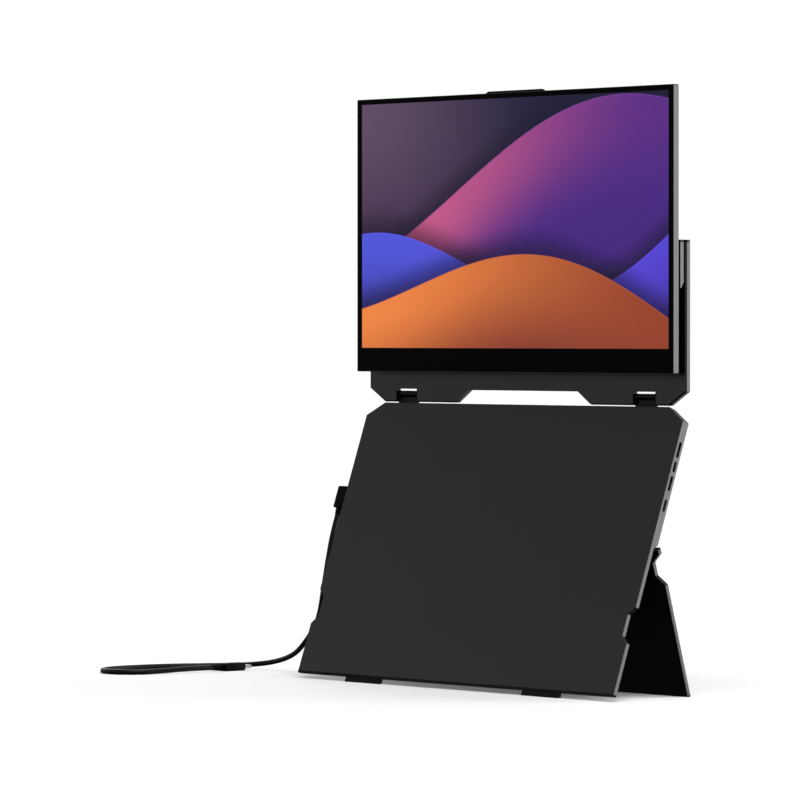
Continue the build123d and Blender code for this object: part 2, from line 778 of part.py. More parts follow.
def tilt_hinge():
    # two black strips on top of riser and leaf, with knuckles between them; the leaf's knuckles
    # turn in recesses of the riser's strip
    riser_strip = block(-half_width, half_width, riser_front, riser_split, riser_panel_top, riser_top)
    sides = riser_strip.faces().sort_by(Axis.Y)[0].edges().filter_by(Axis.Z)
    riser_strip = chamfer(sides, riser_bevel)
    leaf_strip = block(-half_width, half_width, leaf_front, leaf_back, riser_panel_top, riser_top)
    half = tilt_knuckle / 2
    offset = tilt_knuckle + knuckle_gap
    screw_z = riser_top - (tilt_tab_height + top_strip) / 2
    tab_front = riser_front - tilt_tab_thickness
    tip = riser_back - screw_skin
    pins, screws = [], []
    for x in spread(half_width - tilt_inset, 3):
        leaf_strip += tilt_ring(x - half, x + half, leaf_back, tilt_pin_radius + fixed_fit)
        riser_strip -= block(x - half - knuckle_gap, x + half + knuckle_gap, riser_front,
                             tilt_y + tilt_radius + knuckle_gap, riser_panel_top, riser_top)
        pins.append(rod(tilt_pin_radius, tilt_y, tilt_z, x - half - offset, x + half + offset))
        for side_x in (x - offset, x + offset):
            riser_strip += tilt_ring(side_x - half, side_x + half, riser_front, tilt_pin_radius + running_fit)
            riser_strip += block(side_x - tilt_tab_width / 2, side_x + tilt_tab_width / 2, tab_front,
                                 riser_front, riser_top - tilt_tab_height, riser_top)
            hole = screw_hole(side_x, screw_z, tab_front, tip)
            riser_strip -= hole
            parts["riser_front_panel"] -= hole
            parts["riser_back_panel"] -= hole
            screws.append(screw(side_x, screw_z, tab_front, tip))
        riser_strip -= rod(tilt_pin_radius + running_fit, tilt_y, tilt_z, x - half - offset, x + half + offset)
    parts["riser_hinge_strip"] = riser_strip
    parts["display_hinge_strip"] = leaf_strip
    parts["tilt_hinge_pins"] = Compound(pins)
    parts["riser_hinge_screws"] = Compound(screws)


# Display

def display_block(inset, y0, y1):
    # block of the display's outline, this much smaller on every side
    half = half_width - inset
    return block(-half, half, y0, y1, display_low + inset, display_top - inset)


def display_case():
    # the rear cover's side walls run round the bezel, which rests on their inner step
    bezel_back = display_front + bezel_thickness
    bezel = display_block(cover_rim + seat_gap, display_front, bezel_back)
    bezel = chamfer(bezel.faces().sort_by(Axis.Y)[0].edges(), edge_chamfer / 2)
    bezel -= block(-screen_width / 2, screen_width / 2, display_front, bezel_back, window_low, window_high)
    cover = display_block(0, display_front, display_back)
    cover = fillet(cover.edges().filter_by(Axis.Y), display_corner)
    cover = chamfer(cover.faces().sort_by(Axis.Y)[-1].edges(), edge_chamfer)
    cover -= display_block(cover_rim, display_front, bezel_back)
    cover -= display_block(cover_side_wall, bezel_back, display_back - cover_back_wall)
    parts["display_bezel"] = bezel
    parts["display_rear_cover"] = cover


def display_stack():
    # glass in the bezel's window, the panel behind it and the backlight behind that
    glass_half = screen_width / 2 - seat_gap
    glass_front = display_front + glass_recess
    parts["screen_glass"] = block(-glass_half, glass_half, glass_front, glass_front + glass_thickness,
                                  window_low + seat_gap, window_high - seat_gap)
    half = screen_width / 2 + panel_margin
    low, high = window_low - panel_margin, window_high + panel_margin
    panel_front = display_front + bezel_thickness + seat_gap
    light_front = panel_front + panel_thickness + seat_gap
    parts["lcd_panel"] = block(-half, half, panel_front, panel_front + panel_thickness, low, high)
    parts["backlight_unit"] = block(-half, half, light_front, light_front + backlight_thickness, low, high)


def driver_electronics():
    # driver board below the panel, flat against the rear cover
    half = half_width - driver_board_inset
    back = display_back - cover_back_wall - seat_gap
    front = back - driver_board_thickness
    top = window_low - panel_margin - driver_board_gap
    middle = top - driver_board_height / 2
    parts["driver_board"] = block(-half, half, front, back, top - driver_board_height, top)
    parts["driver_chips"] = Compound(
        [block(x - driver_chip_length / 2, x + driver_chip_length / 2, front - driver_chip_thickness, front,
               middle - driver_chip_height / 2, middle + driver_chip_height / 2)
         for x in spread(half - 2 * driver_chip_length, driver_chip_count)])
    parts["panel_ribbons"] = Compound(
        [panel_ribbon(x, front, top) for x in spread(half - ribbon_width, ribbon_count)])


def panel_ribbon(x, board_face, board_top):
    # film from the board's face round to the lower edge of the panel
    x0, x1 = x - ribbon_width / 2, x + ribbon_width / 2
    bend = board_top + driver_board_gap / 2
    panel_face = display_front + bezel_thickness + seat_gap + panel_thickness / 2
    film = block(x0, x1, board_face - ribbon_thickness, board_face, board_top - ribbon_overlap, bend)
    film += block(x0, x1, panel_face, board_face, bend, bend + ribbon_thickness)
    film += block(x0, x1, panel_face, panel_face + ribbon_thickness, bend, window_low - panel_margin)
    return film


def display_leaf():
    # plate behind the display that hangs it from the tilt hinge, held off by round spacers
    low = riser_top - leaf_height
    profile = [(leaf_front, low), (leaf_back - leaf_taper_depth, low), (leaf_back, low + leaf_taper_run),
               (leaf_back, riser_panel_top), (leaf_front, riser_panel_top)]
    leaf = bar(profile)
    z = riser_top - leaf_screw_drop
    seat = leaf_back - screw_head_height
    tip = display_back - cover_back_wall + screw_skin / 2
    spacers, screws = [], []
    for x in spread(half_width - leaf_screw_inset, 4):
        hole = screw_hole(x, z, tip, leaf_back)
        leaf -= hole
        leaf -= head_hole(x, z, seat, leaf_back)
        spacers.append(post(spacer_radius, x, z, display_back, leaf_front) - hole)
        screws.append(screw(x, z, seat, tip))
        parts["display_rear_cover"] -= hole
    parts["display_hinge_leaf"] = leaf
    parts["leaf_spacers"] = Compound(spacers)
    parts["leaf_screws"] = Compound(screws)


def grip_tab():
    # lip that stands above the display's top edge, and the plate that holds it behind the rear cover
    half = grip_width / 2
    front, back = display_front + grip_front, display_front + grip_back
    outline = mirrored([(half, display_top), (half, display_top + grip_rise / 3),
                        (half - grip_bevel, display_top + grip_rise)])
    tab = panel(outline, front, back)
    tab += block(-half, half, display_back, back, display_top - grip_drop, display_top)
    parts["grip_tab"] = tab


# Cable

def tongue(place):
    # hollow metal nose of a plug, along the place's z axis
    length, width = usb_length - 2 * tongue_gap, usb_width - 2 * tongue_gap
    outer = extrude(SlotOverall(length, width), amount=tongue_length)
    inner = extrude(SlotOverall(length - 2 * tongue_wall, width - 2 * tongue_wall), amount=tongue_length)
    return place * (outer - Pos(0, 0, tongue_floor) * inner)


def near_plug():
    # right-angle plug in the left socket, its strain relief points down the base plate
    inner = -half_width - seat_gap
    outer = inner - plug_width
    top = left_usb_height + plug_head
    low = top - plug_length
    shell = block(outer, inner, port_depth - plug_thickness / 2, port_depth + plug_thickness / 2, low, top)
    shell = fillet(shell.edges().filter_by(Axis.Z), plug_edge)
    shell = chamfer(shell.faces().sort_by(Axis.Z)[-1].edges(), plug_edge / 2)
    axis_x = outer + cable_inset
    relief = Pos(axis_x, port_depth, low - relief_length / 2) * Cone(
        relief_radius - relief_taper, relief_radius, relief_length)
    nose = Plane((inner, port_depth, left_usb_height), x_dir=(0, 0, 1), z_dir=(1, 0, 0)).location
    parts["plug_shell"] = base_place * shell
    parts["plug_strain_relief"] = base_place * relief
    parts["plug_tongue"] = base_place * tongue(nose)
    end = base_place * Pos(axis_x, port_depth, low - relief_length)
    below = base_place * Pos(axis_x, port_depth, low - relief_length - cable_first_run)
    return [end.position, below.position]


def cable_radii(points):
    # each arc is as large as the two runs beside it allow
    radii = []
    for before, corner, after in zip(points, points[1:], points[2:]):
        run_in, run_out = corner - before, after - corner
        turn = math.radians(run_in.get_angle(run_out))
        radii.append(0.45 * min(run_in.length, run_out.length) / math.tan(turn / 2))
    return radii


def cable(first_run):
    points = first_run + [Vector(*point) for point in cable_route]
    radii = cable_radii(points)
    path = FilletPolyline(*points, radius=radii)
    section = Plane(points[0], z_dir=points[1] - points[0]) * Circle(cable_diameter / 2)
    tube = sweep(section, path=path)
    parts["cable"] = tube
    expected = math.pi * (cable_diameter / 2) ** 2 * path.length
    print("cable starts at", [[round(value, 2) for value in point] for point in first_run])
    print("cable length", round(path.length, 1), "volume", round(tube.volume, 1), "expected", round(expected, 1))
    print("cable runs", [round((b - a).length, 1) for a, b in zip(points, points[1:])])
    print("cable arc radii", [round(radius, 1) for radius in radii])
    far_plug(points[-2], points[-1])


def far_plug(before, end):
    # straight plug that lies flat on the table, in line with the cable's last run
    heading = (end - before).normalized()
    place = Plane(end, x_dir=heading, z_dir=(0, 0, 1)).location
    relief = Pos(far_relief_length / 2, 0, 0) * Rot(0, 90, 0) * Cone(
        cable_diameter / 2 + seat_gap, relief_radius, far_relief_length)
    shell = Pos(far_relief_length + far_plug_length / 2, 0, 0) * Box(
        far_plug_length, far_plug_width, far_plug_thickness)
    shell = fillet(shell.edges().filter_by(Axis.X), far_plug_thickness / 2 - seat_gap)
    nose = Plane((far_relief_length + far_plug_length, 0, 0), x_dir=(0, 1, 0), z_dir=(1, 0, 0)).location
    parts["far_strain_relief"] = place * relief
    parts["far_plug_shell"] = place * shell
    parts["far_plug_tongue"] = place * tongue(nose)


def write_parts():
    os.makedirs("parts", exist_ok=True)
    for name, shape in parts.items():
        export_step(shape, "parts/" + name + ".step")


base_front_shell()
base_rear_cover()
base_foot_strip()
fold_brackets()
kick_brackets()
electronics()
power_button()
kickstand()
riser()
fold_knuckles()
fold_cheeks()
tilt_hinge()
display_case()
display_stack()
driver_electronics()
display_leaf()
grip_tab()
cable(near_plug())
write_parts()

print("fold axis", round(fold_y, 4), round(fold_z, 4))
print("tilt axis", round(tilt_y, 4), round(tilt_z, 4))
print("kickstand axis", round(base_y + kick_y, 4), round(kick_z, 4))
print("base front corner", round(base_y, 4), "display front", round(display_front, 3))
print("display low", round(display_low, 3), "top", round(display_top, 3))
print("nodes", len(parts))
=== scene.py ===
from math import atan2, cos, radians, sin

import bmesh
import bpy
from mathutils import Matrix, Vector


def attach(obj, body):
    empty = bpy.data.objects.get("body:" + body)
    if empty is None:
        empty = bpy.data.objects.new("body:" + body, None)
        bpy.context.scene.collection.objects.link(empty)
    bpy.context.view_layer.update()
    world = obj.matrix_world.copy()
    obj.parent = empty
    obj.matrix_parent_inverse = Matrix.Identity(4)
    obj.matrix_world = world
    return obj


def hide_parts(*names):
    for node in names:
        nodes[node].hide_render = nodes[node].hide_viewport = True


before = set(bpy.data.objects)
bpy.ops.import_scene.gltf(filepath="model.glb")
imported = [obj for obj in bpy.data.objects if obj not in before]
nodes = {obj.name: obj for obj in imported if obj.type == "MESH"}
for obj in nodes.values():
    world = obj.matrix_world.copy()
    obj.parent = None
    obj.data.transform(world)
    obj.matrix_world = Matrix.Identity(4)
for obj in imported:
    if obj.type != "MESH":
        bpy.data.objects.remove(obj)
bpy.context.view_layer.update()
bpy.ops.object.select_all(action="DESELECT")  # the CAD nodes come in selected
print("frame loaded,", len(nodes), "nodes")

cameraSetup = {
    "place": (2.80931, -2.63365, 0.27450),
    "tilt": 89.2055,  # degrees from straight down
    "turn": 47.86,  # degrees round from looking along +y
    "lens": 225.216,  # millimetres, as is the sensor
    "sensor": 36.0,
    "nearest": 0.05,  # metres between which it sees
    "farthest": 60.0,
}


def setCamera():
    lens = bpy.data.cameras.new("studioCamera")
    lens.lens = cameraSetup["lens"]
    lens.sensor_width = cameraSetup["sensor"]
    lens.clip_start = cameraSetup["nearest"]
    lens.clip_end = cameraSetup["farthest"]
    camera = bpy.data.objects.new("studioCamera", lens)
    camera.location = cameraSetup["place"]
    camera.rotation_euler = (radians(cameraSetup["tilt"]), 0, radians(cameraSetup["turn"]))
    bpy.context.scene.collection.objects.link(camera)
    bpy.context.scene.camera = camera


setCamera()
bpy.context.scene.view_settings.view_transform = "Standard"
bpy.context.scene.view_settings.look = "None"
print("camera set")


class Wire:
    # one socket in a recipe; sums with it add their Math nodes
    def __init__(self, recipe, socket):
        self.recipe = recipe
        self.socket = socket

    def maths(self, operation, *values):
        return self.recipe.add("Math", {"operation": operation}, dict(enumerate(values)))

    def __add__(self, other):
        return self.maths("ADD", self, other)

    def __radd__(self, other):
        return self.maths("ADD", other, self)

    def __sub__(self, other):
        return self.maths("SUBTRACT", self, other)

    def __rsub__(self, other):
        return self.maths("SUBTRACT", other, self)

    def __mul__(self, other):
        return self.maths("MULTIPLY", self, other)

    def __rmul__(self, other):
        return self.maths("MULTIPLY", other, self)

    def __truediv__(self, other):
        return self.maths("DIVIDE", self, other)

    def __rtruediv__(self, other):
        return self.maths("DIVIDE", other, self)

    def __pow__(self, other):
        return self.maths("POWER", self, other)

    def __neg__(self):
        return self.maths("MULTIPLY", self, -1.0)

    def wave(self):
        return self.maths("SINE", self)

    def size(self):
        return self.maths("ABSOLUTE", self)

    def spread(self, amount):  # noise of 0 to 1, made to vary round 0 by this much
        return (self - 0.5) * amount

    def ramp(self, low, high):  # 0 below low, 1 above high, smooth between
        values = {"Value": self, "From Min": low, "From Max": high}
        return self.recipe.add("MapRange", {"interpolation_type": "SMOOTHSTEP"}, values)

    def slope(self, low, high):  # the same in a straight line
        values = {"Value": self, "From Min": low, "From Max": high}
        return self.recipe.add("MapRange", None, values)


edgeWear = {"samples": 4, "lean": (0.01, 0.2)}  # how far a softened normal leans on worn edges


class Recipe:
    # the nodes of a material or a sky: its shader and whatever feeds it
    def __init__(self, owner, shader, fixed=None):
        self.owner = owner
        owner.use_nodes = True
        self.tree = owner.node_tree
        self.shader = self.tree.nodes[shader]
        for socket, value in (fixed or {}).items():
            self.shader.inputs[socket].default_value = value

    def add(self, kind, settings=None, values=None, out=0):
        node = self.tree.nodes.new("ShaderNode" + kind)
        for key, value in (settings or {}).items():
            if key == "stops":  # a ramp's places and greys
                band = node.color_ramp
                while len(band.elements) < len(value):
                    band.elements.new(0.5)
                for element, (place, strength) in zip(band.elements, value):
                    element.position = place
                    element.color = (*grey(strength), 1)
            else:
                setattr(node, key, value)
        for key, value in (values or {}).items():
            if isinstance(value, Wire):
                self.tree.links.new(value.socket, node.inputs[key])
            else:
                node.inputs[key].default_value = value
        return Wire(self, node.outputs[out])

    def feed(self, socket, wire):
        self.tree.links.new(wire.socket, self.shader.inputs[socket])

    def coords(self, scale=(1, 1, 1)):
        plain = self.add("TexCoord", out="Object")
        return self.add("Mapping", None, {"Vector": plain, "Scale": scale})

    def axes(self, vector, names):
        node = self.add("SeparateXYZ", None, {0: vector}).socket.node
        return [Wire(self, node.outputs[name]) for name in names]

    def noise(self, vector, scale, detail=2.0, rough=0.55):
        values = {"Vector": vector, "Scale": scale, "Detail": detail, "Roughness": rough}
        return self.add("TexNoise", None, values)

    def mix(self, factor, first, second):
        first, second = (
            colour if isinstance(colour, Wire) else (*colour, 1) for colour in (first, second)
        )
        return self.add("Mix", {"data_type": "RGBA"}, {0: factor, 6: first, 7: second}, out=2)

    def edges(self, radius):  # softened normal, and a mask that is 1 on sharp edges
        soft = self.add("Bevel", {"samples": edgeWear["samples"]}, {"Radius": radius})
        flat = self.add("NewGeometry", out="True Normal")
        same = {"operation": "DOT_PRODUCT"}
        along = self.add("VectorMath", same, {0: soft, 1: flat}, out="Value")
        return soft, (1 - along).ramp(*edgeWear["lean"])

    def bump(self, height, strength, depth, normal=None):
        values = {"Strength": strength, "Distance": depth, "Height": height}
        if normal is not None:
            values["Normal"] = normal
        self.feed("Normal", self.add("Bump", None, values))


def newFinish(name, fixed):
    return Recipe(bpy.data.materials.new(name), "Principled BSDF", fixed)


def grey(value):
    return (value,) * 3


def shaded(colour, share):
    return [min(1, value * share) for value in colour]


finishes = {}  # record slot -> material

anodised = {
    "base_shell": {"tone": 0.052, "rough": 0.38},
    "riser_panel": {"tone": 0.051, "rough": 0.36},
    "kickstand_panel": {"tone": 0.044, "rough": 0.42},
    "display_shell": {"tone": 0.051, "rough": 0.36},
}
anodisedDetail = {
    "cloudScale": 14.0,  # soft blotches
    "grainScale": 3200.0,  # the blasted surface
    "edge": 0.0002,  # metres that an edge is softened by
    "dark": (0.94, 0.94, 0.94),  # times the tone, as the next three
    "light": (1.06, 1.06, 1.08),
    "grain": (1.35, 1.35, 1.35),
    "worn": (1.9, 1.9, 1.9),
    "grainLevels": (0.35, 0.75),
    "grainShare": 0.3,
    "wornShare": 0.4,
    "cloudRough": 0.08,
    "grainRough": 0.10,
    "wornRough": 0.06,
    "bump": 0.2,
    "depth": 0.00002,
}


def anodisedFinish(name, look, detail):
    finish = newFinish(name, {"Metallic": 1.0})
    place = finish.coords()
    cloud = finish.noise(place, detail["cloudScale"])
    grain = finish.noise(place, detail["grainScale"])
    soft, worn = finish.edges(detail["edge"])
    dark, light, grainy, bare = (
        shaded(detail[key], look["tone"]) for key in ("dark", "light", "grain", "worn")
    )
    base = finish.mix(cloud, dark, light)
    base = finish.mix(grain.ramp(*detail["grainLevels"]) * detail["grainShare"], base, grainy)
    finish.feed("Base Color", finish.mix(worn * detail["wornShare"], base, bare))
    rough = look["rough"] + cloud.spread(detail["cloudRough"]) + grain.spread(detail["grainRough"])
    finish.feed("Roughness", rough - worn * detail["wornRough"])
    finish.bump(grain, detail["bump"], detail["depth"], soft)
    return finish.owner


for slotName, look in anodised.items():
    finishes[slotName] = anodisedFinish(slotName, look, anodisedDetail)

plastics = {
    "bezel_black": {
        "tone": 0.0010, "rough": 0.30, "grain": 1800, "depth": 0.00001, "shine": 0.022,
    },
    # the black hinge strip; this slot also colours the liners on the hinge notch walls, whose
    # black is painted shade for the shadowed walls
    "hinge_strip_black": {
        "tone": 0.003, "rough": 0.46, "grain": 1300, "depth": 0.00003, "shine": 0.12,
    },
    "button_black": {
        "tone": 0.002, "rough": 0.46, "grain": 1600, "depth": 0.00003, "shine": 0.03,
    },
    "plug_black": {
        "tone": 0.002, "rough": 0.48, "grain": 1500, "depth": 0.00003, "shine": 0.06,
    },
    "cable_black": {
        "tone": 0.003, "rough": 0.40, "grain": 900, "depth": 0.00003, "shine": 0.2,
    },
    "chip_black": {
        "tone": 0.016, "rough": 0.55, "grain": 2600, "depth": 0.00002, "shine": 0.4,
    },
}
plasticDetail = {
    "cloudScale": 22.0,
    "edge": 0.0004,
    "dark": 0.8,  # times the tone, as the next two
    "light": 1.2,
    "worn": 2.4,
    "wornShare": 0.5,
    "cloudRough": 0.12,
    "grainRough": 0.14,
    "bump": 0.3,
}


def plasticFinish(name, look, detail):
    finish = newFinish(name, {"Specular IOR Level": look["shine"]})
    place = finish.coords()
    cloud = finish.noise(place, detail["cloudScale"])
    grain = finish.noise(place, look["grain"])
    soft, worn = finish.edges(detail["edge"])
    dark, light, bare = (grey(look["tone"] * detail[key]) for key in ("dark", "light", "worn"))
    base = finish.mix(cloud, dark, light)
    finish.feed("Base Color", finish.mix(worn * detail["wornShare"], base, bare))
    rough = look["rough"] + cloud.spread(detail["cloudRough"]) + grain.spread(detail["grainRough"])
    finish.feed("Roughness", rough)
    finish.bump(grain, detail["bump"], look["depth"], soft)
    return finish.owner


for slotName, look in plastics.items():
    finishes[slotName] = plasticFinish(slotName, look, plasticDetail)

rubber = {
    "tone": 0.006,
    "shine": 0.15,
    "ribs": 2500.0,  # radians a metre
    "groove": 0.55,  # times the tone, as the dust; painted shade in the grooves between the ribs
    "dust": (1.9, 1.85, 1.75),
    "dustScale": 90.0,
    "dustLevels": (0.45, 0.8),
    "dustShare": 0.5,
    "grainScale": 2200.0,
    "grainHeight": 0.25,  # beside a rib's
    "rough": 0.72,
    "grainRough": 0.2,
    "dustRough": 0.08,
    "bump": 0.6,
    "depth": 0.00012,
}


def rubberFinish():
    finish = newFinish("grip_rubber", {"Specular IOR Level": rubber["shine"]})
    place = finish.coords()
    across, = finish.axes(place, "X")
    ribs = (across * rubber["ribs"]).wave() * 0.5 + 0.5
    dust = finish.noise(place, rubber["dustScale"], detail=4.0).ramp(*rubber["dustLevels"])
    grain = finish.noise(place, rubber["grainScale"])
    tone = rubber["tone"]
    base = finish.mix(dust * rubber["dustShare"], grey(tone), shaded(rubber["dust"], tone))
    # the grooves between the ribs are darkened: painted shade in the recesses
    finish.feed("Base Color", finish.mix(1 - ribs, base, grey(tone * rubber["groove"])))
    rough = rubber["rough"] + grain.spread(rubber["grainRough"]) + dust * rubber["dustRough"]
    finish.feed("Roughness", rough)
    finish.bump(ribs + grain * rubber["grainHeight"], rubber["bump"], rubber["depth"])
    return finish.owner


finishes["grip_rubber"] = rubberFinish()
print("housing finishes made")

metals = {
    "hinge_metal": {"tone": (0.020, 0.020, 0.021), "rough": 0.38, "brush": (60, 3000, 3000)},
    "pin_steel": {"tone": (0.42, 0.42, 0.43), "rough": 0.24, "brush": (4200, 200, 200)},
    "screw_steel": {"tone": (0.09, 0.09, 0.093), "rough": 0.34, "brush": (1800, 1800, 1800)},
    "socket_metal": {"tone": (0.36, 0.36, 0.37), "rough": 0.30, "brush": (120, 2400, 2400)},
}
metalDetail = {
    "edge": 0.0002,
    "dark": 0.82,  # times the tone, as the next three
    "light": 1.15,
    "stain": 0.6,
    "worn": 1.7,
    "stainScale": 120.0,
    "stainLevels": (0.5, 0.8),
    "stainShare": 0.3,
    "wornShare": 0.6,
    "brushRough": 0.16,
    "stainRough": 0.08,
    "bump": 0.25,
    "depth": 0.00002,
}


def metalFinish(name, look, detail):
    finish = newFinish(name, {"Metallic": 1.0})
    brushed = finish.noise(finish.coords(look["brush"]), 1.0, detail=3.0)
    stain = finish.noise(finish.coords(), detail["stainScale"], detail=3.0)
    soft, worn = finish.edges(detail["edge"])
    dark, light, stained, bare = (
        shaded(look["tone"], detail[key]) for key in ("dark", "light", "stain", "worn")
    )
    base = finish.mix(brushed, dark, light)
    base = finish.mix(stain.ramp(*detail["stainLevels"]) * detail["stainShare"], base, stained)
    finish.feed("Base Color", finish.mix(worn * detail["wornShare"], base, bare))
    rough = look["rough"] + brushed.spread(detail["brushRough"]) + stain * detail["stainRough"]
    finish.feed("Roughness", rough)
    finish.bump(brushed, detail["bump"], detail["depth"], soft)
    return finish.owner


for slotName, look in metals.items():
    finishes[slotName] = metalFinish(slotName, look, metalDetail)

boardLook = {
    "mask": (0.012, 0.085, 0.035),
    "maskLight": 1.25,  # times the mask
    "trace": (0.03, 0.16, 0.07),
    "traceShare": 0.8,
    "traceStretch": (1, 0.3, 1),
    "traceOffset": 0.35,
    "traces": {  # a brick pattern, whose joints are the traces
        "Scale": 260.0,
        "Mortar Size": 0.06,
        "Mortar Smooth": 0.2,
        "Brick Width": 1.6,
        "Row Height": 0.35,
    },
    "copper": (0.55, 0.32, 0.12),
    "padScale": 420.0,
    "padEdge": (0.12, 0.16),
    "padMetal": 0.9,
    "cloudScale": 60.0,
    "shine": 0.5,
    "rough": 0.38,
    "cloudRough": 0.1,
    "padRough": 0.08,
    "bump": 0.4,
    "depth": 0.00003,
}


def boardFinish(look):
    finish = newFinish("board_green", {"Specular IOR Level": look["shine"]})
    place = finish.coords()
    tracks = finish.add(
        "TexBrick",
        {"offset": look["traceOffset"]},
        {"Vector": finish.coords(look["traceStretch"]), **look["traces"]},
        out="Fac",
    )
    spots = {"Vector": place, "Scale": look["padScale"]}
    cells = finish.add("TexVoronoi", {"feature": "F1"}, spots, out="Distance")
    pads = 1 - cells.ramp(*look["padEdge"])
    cloud = finish.noise(place, look["cloudScale"])
    base = finish.mix(cloud, look["mask"], shaded(look["mask"], look["maskLight"]))
    base = finish.mix(tracks * look["traceShare"], base, look["trace"])
    finish.feed("Base Color", finish.mix(pads, base, look["copper"]))
    finish.feed("Metallic", pads * look["padMetal"])
    rough = look["rough"] + cloud.spread(look["cloudRough"]) - pads * look["padRough"]
    finish.feed("Roughness", rough)
    finish.bump(tracks + pads, look["bump"], look["depth"])
    return finish.owner


flexLook = {
    "film": (0.42, 0.13, 0.02),
    "filmDark": 0.85,  # times the film
    "copper": (0.62, 0.30, 0.10),
    "copperShare": 0.7,
    "pitch": 9000.0,  # radians a metre
    "lineEdge": (0.1, 0.5),
    "cloudScale": 80.0,
    "shine": 0.5,
    "rough": 0.34,
    "cloudRough": 0.15,
    "bump": 0.3,
    "depth": 0.00002,
}


def flexFinish(look):
    finish = newFinish("flex_orange", {"Specular IOR Level": look["shine"]})
    place = finish.coords()
    across, = finish.axes(place, "X")
    lines = (across * look["pitch"]).wave().ramp(*look["lineEdge"])
    cloud = finish.noise(place, look["cloudScale"])
    base = finish.mix(cloud, shaded(look["film"], look["filmDark"]), look["film"])
    finish.feed("Base Color", finish.mix(lines * look["copperShare"], base, look["copper"]))
    finish.feed("Roughness", look["rough"] + cloud.spread(look["cloudRough"]))
    finish.bump(lines, look["bump"], look["depth"])
    return finish.owner


sheets = {
    "cell_glass": {
        "low": (0.02, 0.022, 0.026), "high": (0.032, 0.034, 0.04), "rough": 0.16, "shine": 0.5,
    },
    "backlight_white": {
        "low": (0.70, 0.71, 0.72), "high": (0.80, 0.80, 0.80), "rough": 0.5, "shine": 0.4,
    },
}
sheetDetail = {
    "cloudScale": 35.0,
    "grainScale": 1500.0,
    "grainRough": 0.1,
    "cloudRough": 0.05,
    "bump": 0.2,
    "depth": 0.00001,
}


def sheetFinish(name, look, detail):
    finish = newFinish(name, {"Specular IOR Level": look["shine"]})
    place = finish.coords()
    cloud = finish.noise(place, detail["cloudScale"], detail=3.0)
    grain = finish.noise(place, detail["grainScale"])
    finish.feed("Base Color", finish.mix(cloud, look["low"], look["high"]))
    rough = look["rough"] + grain.spread(detail["grainRough"]) + cloud.spread(detail["cloudRough"])
    finish.feed("Roughness", rough)
    finish.bump(grain, detail["bump"], detail["depth"])
    return finish.owner


finishes["board_green"] = boardFinish(boardLook)
finishes["flex_orange"] = flexFinish(flexLook)
for slotName, look in sheets.items():
    finishes[slotName] = sheetFinish(slotName, look, sheetDetail)
print("inner finishes made")

screenArt = {
    "centre": (0.0, 0.357535),  # x, z of the picture, metres
    "half": (0.17198, 0.096695),
    # places on the picture run from -1 to 1 both ways
    "groundLow": (0.075, 0.014, 0.075),
    "groundHigh": (0.006, 0.005, 0.036),
    "groundLevels": (-1.0, 0.9),
    "haze": (0.105, 0.062, 0.125),
    "hazeAcross": (-1.1, 0.3),
    "hazeUp": (-0.6, 0.9),
    "shade": (0.004, 0.002, 0.02),  # what a swell casts on the one behind
    "shadeShare": 0.72,
    "shadeReach": (-0.02, 0.26),
    "turnAcross": (-1.0, 1.0),  # from a swell's left colour to its right one
    "deepBelow": (0.05, 0.95),
    "rimWidth": 0.02,
    "rimShare": 0.35,
    "rimLight": 1.5,  # times the right colour, and then the lift
    "rimLift": 0.03,
    "crestEdge": (-0.003, 0.003),
    "swells": [
        # back to front: rise, the wave's height, pace and start, its tilt, and three colours
        {
            "rise": 0.30, "sweep": 0.62, "pace": 1.55, "start": 0.55, "tilt": 0.10,
            "left": (0.62, 0.105, 0.24),
            "right": (0.095, 0.018, 0.22),
            "deep": (0.055, 0.014, 0.21),
        },
        {
            "rise": -0.22, "sweep": 0.50, "pace": 2.05, "start": 3.75, "tilt": 0.34,
            "left": (0.070, 0.085, 0.68),
            "right": (0.085, 0.050, 0.62),
            "deep": (0.030, 0.012, 0.17),
        },
        {
            "rise": -0.62, "sweep": 0.40, "pace": 1.85, "start": 1.15, "tilt": -0.20,
            "left": (0.86, 0.23, 0.050),
            "right": (0.30, 0.050, 0.020),
            "deep": (0.22, 0.034, 0.020),
        },
    ],
    "glow": 1.0,
    "shine": 0.16,
    "glass": (0.002, 0.004),  # its greys
    "fineScale": 5200.0,
    "fineShare": 0.06,
    "rough": 0.26,
    "fineRough": 0.06,
}


def screenFinish(art):
    fixed = {"Specular IOR Level": art["shine"], "Emission Strength": art["glow"]}
    finish = newFinish("screen", fixed)
    x, z = finish.axes(finish.coords(), "XZ")
    u = (x - art["centre"][0]) / art["half"][0]
    v = (z - art["centre"][1]) / art["half"][1]
    picture = finish.mix(v.ramp(*art["groundLevels"]), art["groundLow"], art["groundHigh"])
    misty = (1 - u.ramp(*art["hazeAcross"])) * v.ramp(*art["hazeUp"])
    picture = finish.mix(misty, picture, art["haze"])
    for swell in art["swells"]:
        wave = (u * swell["pace"] + swell["start"]).wave()
        above = v - (wave * swell["sweep"] + u * swell["tilt"] + swell["rise"])
        shade = 1 - above.ramp(*art["shadeReach"])
        picture = finish.mix(shade * art["shadeShare"], picture, art["shade"])
        body = finish.mix(u.ramp(*art["turnAcross"]), swell["left"], swell["right"])
        body = finish.mix((-above).ramp(*art["deepBelow"]), body, swell["deep"])
        rim = (above + art["rimWidth"]).ramp(0.0, art["rimWidth"]) * art["rimShare"]
        lit = [min(1, value * art["rimLight"] + art["rimLift"]) for value in swell["right"]]
        body = finish.mix(rim, body, lit)
        picture = finish.mix(1 - above.ramp(*art["crestEdge"]), picture, body)
    fine = finish.noise(finish.coords(), art["fineScale"], detail=1.0)
    speck = (fine - 0.5).size() * art["fineShare"]
    finish.feed("Emission Color", finish.mix(speck, picture, grey(0)))
    finish.feed("Base Color", finish.mix(fine, *(grey(value) for value in art["glass"])))
    finish.feed("Roughness", art["rough"] + fine.spread(art["fineRough"]))
    return finish.owner


finishes["screen"] = screenFinish(screenArt)
print("screen drawn")

